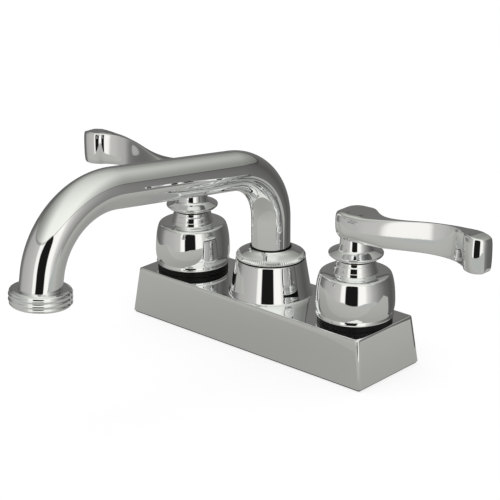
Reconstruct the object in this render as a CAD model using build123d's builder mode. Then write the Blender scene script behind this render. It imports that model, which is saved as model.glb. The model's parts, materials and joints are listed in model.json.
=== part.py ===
from build123d import *

import os
from math import copysign, cos, pi, radians, sin

# Deck-mounted utility sink faucet with two lever handles and a swivel spout
# for a garden hose. Millimetres. The origin is the centre of the footprint on
# the deck, +X runs to the right handle, -Y to the user and +Z up.

os.makedirs("parts", exist_ok=True)

# Handle centres and the running gaps
handle_centres = 101.6
half_centres = handle_centres / 2
running_gap = 0.06
loose_gap = 0.1
moving_gap = 0.3
cut_overrun = 1.0
quarter_turn = 90

# Base cover and its gasket, long and wide enough for the pieces they carry
valve_body_radius = 13.2
bell_belly_radius = 18.1
cover_end_lean = 2.9
cover_side_lean = 2.0
cover_wall = 2.0
cover_end_room = 2.5
cover_side_room = 1.85
cover_length = handle_centres + 2 * (valve_body_radius + cover_end_room + cover_wall + cover_end_lean)
cover_width = 2 * (bell_belly_radius + cover_side_room + cover_side_lean)
cover_corner_radius = 1.3
cover_edge_radius = 0.6
cover_top = 23.2
gasket_thickness = 0.8
gasket_inset = 0.7

# Turret cone in the middle of the cover
cone_foot_radius = 19.25
cone_top_radius = 16.4
cone_top = 41.2
cone_wall = 1.8

# Brass waterway under the cover
valve_body_top = 34.0
valve_hole_gap = 0.5
socket_radius = 10.6
socket_floor = 10.0
seat_hole_radius = 5.5
turret_radius = 14.0
turret_neck_radius = 13.2
turret_neck_foot = 34.0
turret_top = 42.4
turret_bore_radius = 11.68
turret_floor = 18.0
turret_well_radius = 6.0
crossbar_radius = 7.6
crossbar_height = 12.4
crossbar_bore_radius = 4.6

# Threaded inlet shanks, washers and locknuts under the deck
shank_radius = 10.4
shank_bore_radius = 6.5
shank_length = 45.0
shank_grip_length = 7.7
shank_tail_length = 17.0
shank_relief_height = 1.2
shank_relief_depth = 0.5
shank_chamfer = 0.8
deck_thickness = 12.0
washer_radius = 19.0
washer_thickness = 1.6
locknut_radius = 13.8
locknut_flange_radius = 17.0
locknut_flange_thickness = 2.4
locknut_height = 12.0
locknut_wing_radius = 19.5
locknut_wing_width = 4.0
locknut_wing_count = 4

# Bell escutcheons and their gaskets
bell_gasket_height = 2.8
bell_gasket_radius = 17.2
bell_gasket_bore = 14.6
bell_foot_radius = 17.7
bell_belly_rise = 7.0
bell_waist_radius = 17.55
bell_waist_rise = 14.3
bell_shoulder_radius = 16.0
bell_shoulder_rise = 19.5
bell_wall = 1.6
bell_neck_foot = 46.35
bell_neck_bore = 7.0
neck_ring_radii = [10.1, 9.5, 8.9]
neck_ring_heights = [1.55, 2.5, 1.8]

# Quarter-turn ceramic cartridge
barrel_radius = 9.0
barrel_bore_radius = 7.6
barrel_lift = 0.6
barrel_top = 28.0
cartridge_thread_radius = 10.5
cartridge_hex_width = 24.0
cartridge_hex_height = 4.0
cartridge_neck_radius = 6.6
cartridge_top = 50.0
cartridge_bore_radius = 4.56
chamber_top = 27.0
window_width = 7.0
window_height = 5.0
window_foot = 20.0
seat_seal_height = 2.0
seat_seal_bore = 5.0
disc_thickness = 3.0
disc_port_radius = 1.9
disc_port_circle_radius = 4.4
disc_gap = 0.05
drive_slot_width = 3.1
drive_slot_depth = 1.5

# Valve stem with its flange, groove, spline and clip
stem_radius = 4.5
stem_tongue_length = 12.0
stem_flange_radius = 7.3
stem_flange_height = 1.5
stem_seal_drop = 9.0
stem_seal_groove_depth = 1.4
stem_seal_groove_height = 2.0
stem_clip_thickness = 0.8
stem_clip_radius = 6.2
stem_clip_groove_depth = 0.6
stem_clip_mouth = 5.0
spline_tip_radius = 3.9
spline_root_radius = 3.4
spline_teeth = 20
spline_foot = 51.6
stem_top = 66.5

# Lever handles: turned saucer and neck, hub, blade and thumb nose
saucer_gap = 0.8
saucer_foot_radius = 9.6
saucer_under_radius = 11.5
saucer_under_rise = 0.9
saucer_radius = 12.5
saucer_rise = 2.2
saucer_top_radius = 11.4
saucer_top_rise = 2.85
handle_waist_radius = 8.05
handle_waist_rise = 4.8
handle_neck_radius = 7.3
handle_neck_rise = 8.5
handle_core_rise = 12.0
handle_bore_depth = 14.0
lever_reach = 71.3
lever_half_width = 9.1
lever_foot = 61.1
lever_height = 18.7
set_screw_radius = 1.8
set_screw_length = 3.4
set_screw_rise = 6.9
set_screw_socket = 1.0
set_screw_socket_depth = 1.6

# Stations along the lever, each with the shares of the reach from the axis,
# of the half width for the front and back faces, and of the height for the
# lower and upper edges. They run from the back of the hub, along the blade
# that sweeps back, past the thumb hollow and round the nose at the tip.
lever_shares = [
    (-0.128, -0.253, 0.099, 0.348, 0.561),
    (-0.121, -0.462, 0.297, 0.23, 0.642),
    (-0.105, -0.659, 0.505, 0.134, 0.701),
    (-0.081, -0.824, 0.714, 0.053, 0.727),
    (-0.045, -0.956, 0.89, 0.011, 0.743),
    (0.004, -1.0, 0.989, 0.0, 0.743),
    (0.056, -0.978, 0.967, 0.021, 0.749),
    (0.112, -0.912, 0.681, 0.043, 0.749),
    (0.168, -0.824, 0.33, 0.064, 0.77),
    (0.231, -0.703, 0.044, 0.08, 0.791),
    (0.309, -0.549, -0.143, 0.096, 0.813),
    (0.393, -0.363, -0.044, 0.123, 0.85),
    (0.477, -0.187, 0.077, 0.134, 0.882),
    (0.575, 0.011, 0.275, 0.139, 0.904),
    (0.659, 0.132, 0.418, 0.128, 0.92),
    (0.718, 0.132, 0.505, 0.123, 0.93),
    (0.773, -0.11, 0.56, 0.123, 0.952),
    (0.82, -0.44, 0.604, 0.123, 0.973),
    (0.868, -0.692, 0.626, 0.102, 0.989),
    (0.914, -0.791, 0.615, 0.07, 1.0),
    (0.961, -0.725, 0.484, 0.086, 0.979),
    (0.989, -0.549, 0.264, 0.15, 0.898),
    (1.0, -0.374, 0.055, 0.278, 0.749),
]
lever_squareness_share = 0.60
lever_section_points = 16

# Knurled spout nut
nut_radius = 16.4
nut_band_gap = 0.55
nut_band_height = 2.35
nut_bevel_radius = 15.9
nut_bevel_height = 0.3
nut_lip_radius = 11.4
nut_lip_foot = 44.95
nut_lip_curve = 0.7
nut_lip_height = 1.5
nut_roof = 43.2
nut_skirt_radius = 14.4
nut_skirt_foot = 35.5
nut_bore_gap = 0.1
nut_hole_radius = 9.5
nut_knurl_count = 96
nut_knurl_depth = 0.35
bearing_ring_bore = 9.5

# Swivel spout
spout_swing_angle = 5.4
spout_radius = 9.2
spout_wall = 1.2
riser_foot = 20.2
riser_top = 60.25
first_bend_radius = 27.74
arm_rise_angle = 6.0
arm_length = 66.63
second_bend_radius = 35.48
outlet_dip_angle = 80.0
outlet_tail = 4.6
sleeve_radius = 11.6
sleeve_top = 42.3
o_ring_radius = 0.7
o_ring_groove_depth = 1.4
o_ring_heights = [26.0, 34.0]

# Garden-hose thread collar at the outlet
collar_radius = 13.49
collar_length = 9.7
collar_shoulder_radius = 12.5
collar_shoulder_length = 0.9
collar_lip_radius = 12.5
collar_lip_length = 1.2
collar_socket_depth = 5.0


def drawing_plane(x):
    """Upright plane through the vertical axis at x: radius across, height up."""
    return Plane(origin=(x, 0, 0), x_dir=(1, 0, 0), z_dir=(0, -1, 0))


def upright_axis(x):
    """Vertical axis that a turned piece at x is revolved about."""
    return Axis((x, 0, 0), (0, 0, 1))


def lever_outline(front, back, bottom, top):
    """Points round a square-shouldered oval that fills the given rectangle."""
    points = []
    for step in range(lever_section_points):
        angle = 2 * pi * step / lever_section_points
        across = copysign(abs(cos(angle)) ** lever_squareness_share, cos(angle))
        along = copysign(abs(sin(angle)) ** lever_squareness_share, sin(angle))
        y = (front + back) / 2 + across * (back - front) / 2
        z = (bottom + top) / 2 + along * (top - bottom) / 2
        points.append((y, z))
    return points


# Base gasket, a thin rubber sheet with two holes for the shanks
gasket_hole_radius = shank_radius + 6 * loose_gap
with BuildPart() as base_gasket:
    with BuildSketch():
        RectangleRounded(
            cover_length - 2 * gasket_inset,
            cover_width - 2 * gasket_inset,
            cover_corner_radius - gasket_inset,
        )
        with Locations((-half_centres, 0), (half_centres, 0)):
            Circle(gasket_hole_radius, mode=Mode.SUBTRACT)
    extrude(amount=gasket_thickness)
base_gasket.part.label = "base_gasket"
export_step(base_gasket.part, "parts/base_gasket.step")

# Base cover, a thin leaning box with the turret cone standing on it
cover_top_length = cover_length - 2 * cover_end_lean
cover_top_width = cover_width - 2 * cover_side_lean
cone_bore_foot = cone_foot_radius - cone_wall
cone_bore_top = cone_top_radius - cone_wall
valve_hole_radius = valve_body_radius + valve_hole_gap
with BuildPart() as base_cover:
    with BuildSketch(Plane.XY.offset(gasket_thickness)):
        RectangleRounded(cover_length, cover_width, cover_corner_radius)
    with BuildSketch(Plane.XY.offset(cover_top)):
        RectangleRounded(cover_top_length, cover_top_width, cover_corner_radius)
    loft()
    fillet(base_cover.edges().group_by(Axis.Z)[-1], radius=cover_edge_radius)
    with BuildSketch(drawing_plane(0)):
        with BuildLine():
            Polyline(
                (0, cover_top - cover_wall),
                (cone_foot_radius, cover_top - cover_wall),
                (cone_foot_radius, cover_top),
                (cone_top_radius, cone_top),
                (0, cone_top),
                close=True,
            )
        make_face()
    revolve(axis=upright_axis(0))
    with BuildSketch(Plane.XY.offset(gasket_thickness)):
        RectangleRounded(
            cover_length - 2 * cover_wall,
            cover_width - 2 * cover_wall,
            cover_corner_radius,
        )
    with BuildSketch(Plane.XY.offset(cover_top - cover_wall)):
        RectangleRounded(
            cover_top_length - 2 * cover_wall,
            cover_top_width - 2 * cover_wall,
            cover_corner_radius,
        )
    loft(mode=Mode.SUBTRACT)
    with BuildSketch(drawing_plane(0)):
        with BuildLine():
            Polyline(
                (0, cover_top - cover_wall),
                (cone_bore_foot, cover_top - cover_wall),
                (cone_bore_foot, cover_top),
                (cone_bore_top, cone_top),
                (0, cone_top),
                close=True,
            )
        make_face()
    revolve(axis=upright_axis(0), mode=Mode.SUBTRACT)
    with BuildSketch(Plane.XY.offset(cover_top - cover_wall)):
        with Locations((-half_centres, 0), (half_centres, 0)):
            Circle(valve_hole_radius)
    extrude(amount=cover_wall, mode=Mode.SUBTRACT)
base_cover.part.label = "base_cover"
export_step(base_cover.part, "parts/base_cover.step")

# Brass waterway: two valve bodies joined by a crossbar with the turret between
shank_hole_radius = shank_radius + loose_gap
shank_top = gasket_thickness + shank_grip_length
with BuildPart() as waterway_body:
    with BuildSketch(Plane.YZ.offset(-half_centres)):
        with Locations((0, crossbar_height)):
            Circle(crossbar_radius)
    extrude(amount=handle_centres)
    with BuildSketch(Plane.XY.offset(gasket_thickness)):
        with Locations((-half_centres, 0), (half_centres, 0)):
            Circle(valve_body_radius)
    extrude(amount=valve_body_top - gasket_thickness)
    with BuildSketch(Plane.XY.offset(gasket_thickness)):
        Circle(turret_radius)
    extrude(amount=turret_neck_foot - gasket_thickness)
    with BuildSketch(Plane.XY.offset(turret_neck_foot)):
        Circle(turret_neck_radius)
    extrude(amount=turret_top - turret_neck_foot)
    with BuildSketch(Plane.YZ.offset(-half_centres)):
        with Locations((0, crossbar_height)):
            Circle(crossbar_bore_radius)
    extrude(amount=handle_centres, mode=Mode.SUBTRACT)
    with BuildSketch(Plane.XY.offset(turret_floor)):
        Circle(turret_bore_radius)
    extrude(amount=turret_top - turret_floor, mode=Mode.SUBTRACT)
    with BuildSketch(Plane.XY.offset(crossbar_height)):
        Circle(turret_well_radius)
    extrude(amount=turret_floor - crossbar_height, mode=Mode.SUBTRACT)
    with BuildSketch(Plane.XY.offset(socket_floor)):
        with Locations((-half_centres, 0), (half_centres, 0)):
            Circle(socket_radius)
    extrude(amount=valve_body_top - socket_floor, mode=Mode.SUBTRACT)
    with BuildSketch(Plane.XY.offset(gasket_thickness)):
        with Locations((-half_centres, 0), (half_centres, 0)):
            Circle(shank_hole_radius)
    extrude(amount=shank_grip_length, mode=Mode.SUBTRACT)
    with BuildSketch(Plane.XY.offset(shank_top)):
        with Locations((-half_centres, 0), (half_centres, 0)):
            Circle(seat_hole_radius)
    extrude(amount=socket_floor - shank_top, mode=Mode.SUBTRACT)
waterway_body.part.label = "waterway_body"
export_step(waterway_body.part, "parts/waterway_body.step")

# Washers and winged locknuts that clamp the faucet to the deck
nut_hole = shank_radius + loose_gap
locknut_top = -deck_thickness - washer_thickness
with BuildPart() as mounting_washers:
    with BuildSketch(Plane.XY.offset(-deck_thickness)):
        with Locations((-half_centres, 0), (half_centres, 0)):
            Circle(washer_radius)
            Circle(nut_hole + moving_gap, mode=Mode.SUBTRACT)
    extrude(amount=-washer_thickness)
mounting_washers.part.label = "mounting_washers"
export_step(mounting_washers.part, "parts/mounting_washers.step")

with BuildPart() as mounting_nuts:
    with BuildSketch(Plane.XY.offset(locknut_top)):
        with Locations((-half_centres, 0), (half_centres, 0)):
            Circle(locknut_flange_radius)
    extrude(amount=-locknut_flange_thickness)
    with BuildSketch(Plane.XY.offset(locknut_top)):
        with Locations((-half_centres, 0), (half_centres, 0)):
            Circle(locknut_radius)
            with PolarLocations(locknut_wing_radius / 2, locknut_wing_count):
                Rectangle(locknut_wing_radius, locknut_wing_width)
    extrude(amount=-locknut_height)
    with BuildSketch(Plane.XY.offset(locknut_top)):
        with Locations((-half_centres, 0), (half_centres, 0)):
            Circle(nut_hole)
    extrude(amount=-locknut_height, mode=Mode.SUBTRACT)
mounting_nuts.part.label = "mounting_nuts"
export_step(mounting_nuts.part, "parts/mounting_nuts.step")

# Handle side pieces, the same on the left and the right but for the lever
bell_foot = cover_top + bell_gasket_height
disc_foot = socket_floor + seat_seal_height
turning_disc_foot = disc_foot + disc_thickness + disc_gap
stem_foot = turning_disc_foot + disc_thickness - drive_slot_depth + disc_gap
stem_flange_top = chamber_top - disc_gap
bell_top = bell_neck_foot + sum(neck_ring_heights)
saucer_foot = bell_top + saucer_gap
stem_seal_height = cartridge_top - stem_seal_drop
set_screw_height = saucer_foot + set_screw_rise
handle_bore_radius = spline_tip_radius + loose_gap

for side, x in (("left", -half_centres), ("right", half_centres)):
    axis = upright_axis(x)
    across = Plane(origin=(x, 0, 0))

    # Threaded brass shank that the supply hose screws on to
    with BuildPart() as inlet_shank:
        with BuildSketch(across.offset(-shank_length)):
            Circle(shank_radius)
            Circle(shank_bore_radius, mode=Mode.SUBTRACT)
        extrude(amount=shank_length + shank_top)
        chamfer(inlet_shank.edges().group_by(Axis.Z)[0].sort_by(SortBy.LENGTH)[-1], shank_chamfer)
        with BuildSketch(across.offset(shank_tail_length - shank_length)):
            Circle(shank_radius)
            Circle(shank_radius - shank_relief_depth, mode=Mode.SUBTRACT)
        extrude(amount=shank_relief_height, mode=Mode.SUBTRACT)
    inlet_shank.part.label = f"{side}_inlet_shank"
    export_step(inlet_shank.part, f"parts/{side}_inlet_shank.step")

    # Black rubber ring between the cover and the bell
    with BuildPart() as bell_gasket:
        with BuildSketch(across.offset(cover_top)):
            Circle(bell_gasket_radius)
            Circle(bell_gasket_bore, mode=Mode.SUBTRACT)
        extrude(amount=bell_gasket_height)
    bell_gasket.part.label = f"{side}_bell_gasket"
    export_step(bell_gasket.part, f"parts/{side}_bell_gasket.step")

    # Bell escutcheon, a thin shell with three rings round its neck
    bell_cavity_top = bell_foot + bell_shoulder_rise - bell_wall
    with BuildPart() as bell:
        with BuildSketch(drawing_plane(x)):
            with BuildLine():
                Spline(
                    (bell_foot_radius, bell_foot),
                    (bell_belly_radius, bell_foot + bell_belly_rise),
                    (bell_waist_radius, bell_foot + bell_waist_rise),
                    (bell_shoulder_radius, bell_foot + bell_shoulder_rise),
                )
                neck = [(bell_shoulder_radius, bell_foot + bell_shoulder_rise)]
                height = bell_neck_foot
                for ring_radius, ring_height in zip(neck_ring_radii, neck_ring_heights):
                    neck.append((ring_radius, height))
                    height = height + ring_height
                    neck.append((ring_radius, height))
                neck.append((bell_neck_bore, bell_top))
                neck.append((bell_neck_bore, bell_cavity_top))
                Polyline(*neck)
                Spline(
                    (bell_foot_radius - bell_wall, bell_foot),
                    (bell_belly_radius - bell_wall, bell_foot + bell_belly_rise),
                    (bell_waist_radius - bell_wall, bell_foot + bell_waist_rise - bell_wall),
                    (bell_neck_bore, bell_cavity_top),
                    tangents=[(1, 2), (-1, 0)],
                )
                Line((bell_foot_radius - bell_wall, bell_foot), (bell_foot_radius, bell_foot))
            make_face()
        revolve(axis=axis)
    bell.part.label = f"{side}_bell"
    export_step(bell.part, f"parts/{side}_bell.step")

    # Cartridge: brass barrel with two windows, a thread, a hexagon and a neck
    with BuildPart() as cartridge:
        with BuildSketch(drawing_plane(x)):
            with BuildLine():
                Polyline(
                    (barrel_bore_radius, socket_floor + barrel_lift),
                    (barrel_radius, socket_floor + barrel_lift),
                    (barrel_radius, barrel_top),
                    (cartridge_thread_radius, barrel_top),
                    (cartridge_thread_radius, valve_body_top),
                    (cartridge_neck_radius, valve_body_top),
                    (cartridge_neck_radius, cartridge_top),
                    (cartridge_bore_radius, cartridge_top),
                    (cartridge_bore_radius, chamber_top),
                    (barrel_bore_radius, chamber_top),
                    close=True,
                )
            make_face()
        revolve(axis=axis)
        with BuildSketch(across.offset(valve_body_top)):
            RegularPolygon(cartridge_hex_width / 2, 6, major_radius=False)
            Circle(cartridge_neck_radius, mode=Mode.SUBTRACT)
        extrude(amount=cartridge_hex_height)
        with BuildSketch(Plane(origin=(x, 0, window_foot), z_dir=(0, -1, 0))):
            with Locations((0, window_height / 2)):
                Rectangle(window_width, window_height)
        extrude(amount=barrel_radius, both=True, mode=Mode.SUBTRACT)
    cartridge.part.label = f"{side}_cartridge"
    export_step(cartridge.part, f"parts/{side}_cartridge.step")

    # Rubber seal under the discs
    with BuildPart() as seat_seal:
        with BuildSketch(across.offset(socket_floor)):
            Circle(barrel_bore_radius - loose_gap)
            Circle(seat_seal_bore, mode=Mode.SUBTRACT)
        extrude(amount=seat_seal_height)
    seat_seal.part.label = f"{side}_seat_seal"
    export_step(seat_seal.part, f"parts/{side}_seat_seal.step")

    # Ceramic disc that stays, and the one above that turns with the stem
    with BuildPart() as fixed_disc:
        with BuildSketch(across.offset(disc_foot)):
            Circle(barrel_bore_radius - loose_gap)
            with PolarLocations(disc_port_circle_radius, 2):
                Circle(disc_port_radius, mode=Mode.SUBTRACT)
        extrude(amount=disc_thickness)
    fixed_disc.part.label = f"{side}_fixed_disc"
    export_step(fixed_disc.part, f"parts/{side}_fixed_disc.step")

    with BuildPart() as turning_disc:
        with BuildSketch(across.offset(turning_disc_foot)):
            Circle(barrel_bore_radius - 2 * loose_gap)
            with PolarLocations(disc_port_circle_radius, 2, start_angle=quarter_turn):
                Circle(disc_port_radius, mode=Mode.SUBTRACT)
        extrude(amount=disc_thickness)
        with BuildSketch(across.offset(turning_disc_foot + disc_thickness)):
            Rectangle(2 * barrel_bore_radius, drive_slot_width)
        extrude(amount=-drive_slot_depth, mode=Mode.SUBTRACT)
    turning_disc.part.label = f"{side}_turning_disc"
    export_step(turning_disc.part, f"parts/{side}_turning_disc.step")

    # Stem: drive tongue, flange, seal groove, clip groove and splined end
    stem_neck_radius = stem_radius - stem_seal_groove_depth
    clip_foot = cartridge_top + loose_gap
    clip_top = clip_foot + stem_clip_thickness + loose_gap
    clip_groove_radius = stem_radius - stem_clip_groove_depth
    with BuildPart() as stem:
        with BuildSketch(across.offset(stem_foot)):
            Rectangle(stem_tongue_length, drive_slot_width - loose_gap)
        extrude(amount=stem_flange_top - stem_flange_height - stem_foot)
        with BuildSketch(drawing_plane(x)):
            with BuildLine():
                Polyline(
                    (0, stem_foot + drive_slot_depth),
                    (stem_radius, stem_foot + drive_slot_depth),
                    (stem_radius, stem_flange_top - stem_flange_height),
                    (stem_flange_radius, stem_flange_top - stem_flange_height),
                    (stem_flange_radius, stem_flange_top),
                    (stem_radius, stem_flange_top),
                    (stem_radius, stem_seal_height),
                    (stem_neck_radius, stem_seal_height),
                    (stem_neck_radius, stem_seal_height + stem_seal_groove_height),
                    (stem_radius, stem_seal_height + stem_seal_groove_height),
                    (stem_radius, clip_foot),
                    (clip_groove_radius, clip_foot),
                    (clip_groove_radius, clip_top),
                    (stem_radius, clip_top),
                    (stem_radius, spline_foot),
                    (spline_root_radius, spline_foot),
                    (spline_root_radius, stem_top),
                    (0, stem_top),
                    close=True,
                )
            make_face()
        revolve(axis=axis)
        tooth_height = spline_tip_radius - spline_root_radius
        tooth_pitch = 2 * pi * spline_root_radius / spline_teeth
        with BuildSketch(across.offset(spline_foot)):
            with PolarLocations(spline_tip_radius - tooth_height, spline_teeth):
                Rectangle(2 * tooth_height, tooth_pitch / 2)
        extrude(amount=stem_top - spline_foot)
    stem.part.label = f"{side}_stem"
    export_step(stem.part, f"parts/{side}_stem.step")

    # Rubber ring in the stem's groove
    stem_seal_section = (stem_seal_groove_depth + cartridge_bore_radius - stem_radius) / 2
    stem_seal_section = stem_seal_section - running_gap / 2
    with BuildPart() as stem_seal:
        with BuildSketch(drawing_plane(x)):
            with Locations(
                (
                    stem_neck_radius + stem_seal_section + running_gap / 3,
                    stem_seal_height + stem_seal_groove_height / 2,
                )
            ):
                Circle(stem_seal_section)
        revolve(axis=axis)
    stem_seal.part.label = f"{side}_stem_seal"
    export_step(stem_seal.part, f"parts/{side}_stem_seal.step")

    # Spring clip that keeps the stem in the cartridge
    with BuildPart() as stem_clip:
        with BuildSketch(across.offset(clip_foot + loose_gap / 2)):
            Circle(stem_clip_radius)
            Circle(clip_groove_radius + running_gap, mode=Mode.SUBTRACT)
            with Locations((0, stem_clip_radius)):
                Rectangle(stem_clip_mouth, 2 * stem_clip_radius, mode=Mode.SUBTRACT)
        extrude(amount=stem_clip_thickness)
    stem_clip.part.label = f"{side}_stem_clip"
    export_step(stem_clip.part, f"parts/{side}_stem_clip.step")

    # Set screw at the back of the handle's neck, against the stem
    with BuildPart() as set_screw:
        with BuildSketch(
            Plane(origin=(x, handle_bore_radius, set_screw_height), z_dir=(0, 1, 0))
        ):
            Circle(set_screw_radius)
        extrude(amount=set_screw_length)
        with BuildSketch(
            Plane(
                origin=(x, handle_bore_radius + set_screw_length, set_screw_height),
                z_dir=(0, 1, 0),
            )
        ):
            RegularPolygon(set_screw_socket, 6)
        extrude(amount=-set_screw_socket_depth, mode=Mode.SUBTRACT)
    set_screw.part.label = f"{side}_set_screw"
    export_step(set_screw.part, f"parts/{side}_set_screw.step")

# Right handle: turned saucer and neck fused with the lofted hub and lever
with BuildPart() as right_handle:
    for reach, front, back, bottom, top in lever_shares:
        with BuildSketch(Plane.YZ.offset(half_centres + reach * lever_reach)):
            with BuildLine():
                Spline(
                    *lever_outline(
                        front * lever_half_width,
                        back * lever_half_width,
                        lever_foot + bottom * lever_height,
                        lever_foot + top * lever_height,
                    ),
                    periodic=True,
                )
            make_face()
    loft()
    with BuildSketch(drawing_plane(half_centres)):
        with BuildLine():
            Line((0, saucer_foot), (saucer_foot_radius, saucer_foot))
            Spline(
                (saucer_foot_radius, saucer_foot),
                (saucer_under_radius, saucer_foot + saucer_under_rise),
                (saucer_radius, saucer_foot + saucer_rise),
                (saucer_top_radius, saucer_foot + saucer_top_rise),
                (handle_waist_radius, saucer_foot + handle_waist_rise),
                (handle_neck_radius, saucer_foot + handle_neck_rise),
                (handle_neck_radius, saucer_foot + handle_core_rise),
            )
            Line(
                (handle_neck_radius, saucer_foot + handle_core_rise),
                (0, saucer_foot + handle_core_rise),
            )
            Line((0, saucer_foot + handle_core_rise), (0, saucer_foot))
        make_face()
    revolve(axis=upright_axis(half_centres))
    with BuildSketch(Plane(origin=(half_centres, 0, saucer_foot))):
        Circle(handle_bore_radius)
    extrude(amount=handle_bore_depth, mode=Mode.SUBTRACT)
    with BuildSketch(Plane(origin=(half_centres, 0, set_screw_height), z_dir=(0, 1, 0))):
        Circle(set_screw_radius + running_gap)
    extrude(amount=saucer_radius, mode=Mode.SUBTRACT)
right_handle.part.label = "right_handle"
export_step(right_handle.part, "parts/right_handle.step")

# Left handle, the mirror image of the right one
with BuildPart() as left_handle:
    mirror(right_handle.part, about=Plane.YZ)
left_handle.part.label = "left_handle"
export_step(left_handle.part, "parts/left_handle.step")

# Knurled nut that holds the spout down in the turret
nut_bore_radius = turret_neck_radius + nut_bore_gap
nut_band_foot = cone_top + nut_band_gap
nut_band_top = nut_band_foot + nut_band_height
with BuildPart() as spout_nut:
    with BuildSketch(drawing_plane(0)):
        with BuildLine():
            Polyline(
                (nut_bore_radius, nut_roof),
                (nut_bore_radius, nut_skirt_foot),
                (nut_skirt_radius, nut_skirt_foot),
                (nut_skirt_radius, nut_band_foot),
                (nut_radius, nut_band_foot),
                (nut_radius, nut_band_top),
                (nut_bevel_radius, nut_band_top + nut_bevel_height),
                (nut_lip_radius, nut_lip_foot),
            )
            ThreePointArc(
                (nut_lip_radius, nut_lip_foot),
                (nut_hole_radius + nut_lip_curve, nut_lip_foot + nut_lip_curve / 2),
                (nut_hole_radius, nut_lip_foot + nut_lip_height),
            )
            Line((nut_hole_radius, nut_lip_foot + nut_lip_height), (nut_hole_radius, nut_roof))
            Line((nut_hole_radius, nut_roof), (nut_bore_radius, nut_roof))
        make_face()
    revolve(axis=upright_axis(0))
    with BuildSketch(Plane.XY.offset(nut_band_foot)):
        with PolarLocations(nut_radius, nut_knurl_count):
            RegularPolygon(nut_knurl_depth, 4, rotation=0)
    extrude(amount=nut_band_height, mode=Mode.SUBTRACT)
spout_nut.part.label = "spout_nut"
export_step(spout_nut.part, "parts/spout_nut.step")

# Nylon ring under the nut's roof
with BuildPart() as bearing_ring:
    with BuildSketch(Plane.XY.offset(turret_top)):
        Circle(turret_neck_radius)
        Circle(bearing_ring_bore, mode=Mode.SUBTRACT)
    extrude(amount=nut_roof - turret_top)
bearing_ring.part.label = "bearing_ring"
export_step(bearing_ring.part, "parts/bearing_ring.step")

# Spout tube: riser, first bend, rising arm, second bend and outlet tail
swing = radians(spout_swing_angle)
spout_plane = Plane(
    origin=(0, 0, 0),
    x_dir=(-sin(swing), -cos(swing), 0),
    z_dir=(-cos(swing), sin(swing), 0),
)
with BuildPart() as spout_tube:
    with BuildLine(spout_plane):
        riser = Line((0, riser_foot), (0, riser_top))
        first_bend = JernArc(riser @ 1, riser % 1, first_bend_radius, arm_rise_angle - quarter_turn)
        arm = PolarLine(first_bend @ 1, arm_length, direction=first_bend % 1)
        second_bend = JernArc(arm @ 1, arm % 1, second_bend_radius, -arm_rise_angle - outlet_dip_angle)
        tail = PolarLine(
            second_bend @ 1, outlet_tail + collar_socket_depth, direction=second_bend % 1
        )
    with BuildSketch(Plane(origin=riser @ 0, z_dir=riser % 0)):
        Circle(spout_radius)
        Circle(spout_radius - spout_wall, mode=Mode.SUBTRACT)
    sweep()
spout_tube.part.label = "spout_tube"
export_step(spout_tube.part, "parts/spout_tube.step")

# Brass sleeve on the foot of the riser, which turns in the turret
with BuildPart() as spout_sleeve:
    with BuildSketch(Plane.XY.offset(riser_foot)):
        Circle(sleeve_radius)
        Circle(spout_radius + running_gap, mode=Mode.SUBTRACT)
    extrude(amount=sleeve_top - riser_foot)
    for height in o_ring_heights:
        with BuildSketch(Plane.XY.offset(height - o_ring_radius - running_gap)):
            Circle(sleeve_radius + cut_overrun)
            Circle(sleeve_radius - o_ring_groove_depth, mode=Mode.SUBTRACT)
        extrude(amount=2 * o_ring_radius + 2 * running_gap, mode=Mode.SUBTRACT)
spout_sleeve.part.label = "spout_sleeve"
export_step(spout_sleeve.part, "parts/spout_sleeve.step")

# Two rubber rings in the sleeve's grooves
with BuildPart() as spout_o_rings:
    with BuildSketch(drawing_plane(0)):
        for height in o_ring_heights:
            with Locations(
                (sleeve_radius - o_ring_groove_depth + o_ring_radius + running_gap / 3, height)
            ):
                Circle(o_ring_radius)
    revolve(axis=upright_axis(0))
spout_o_rings.part.label = "spout_o_rings"
export_step(spout_o_rings.part, "parts/spout_o_rings.step")

# Collar with the garden-hose thread, on the end of the tail
outlet = second_bend @ 1 + (second_bend % 1) * outlet_tail
outlet_direction = second_bend % 1
collar_plane = Plane(
    origin=outlet, x_dir=outlet_direction.cross(spout_plane.z_dir), z_dir=spout_plane.z_dir
)
with BuildPart() as hose_collar:
    with BuildSketch(collar_plane):
        with BuildLine():
            Polyline(
                (spout_radius + running_gap, 0),
                (collar_shoulder_radius, 0),
                (collar_radius, collar_shoulder_length),
                (collar_radius, collar_length - collar_lip_length),
                (collar_lip_radius, collar_length),
                (spout_radius - spout_wall, collar_length),
                (spout_radius - spout_wall, collar_socket_depth),
                (spout_radius + running_gap, collar_socket_depth),
                close=True,
            )
        make_face()
    revolve(axis=Axis(outlet, outlet_direction))
hose_collar.part.label = "hose_collar"
export_step(hose_collar.part, "parts/hose_collar.step")
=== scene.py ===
# %% [markdown]
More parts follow.
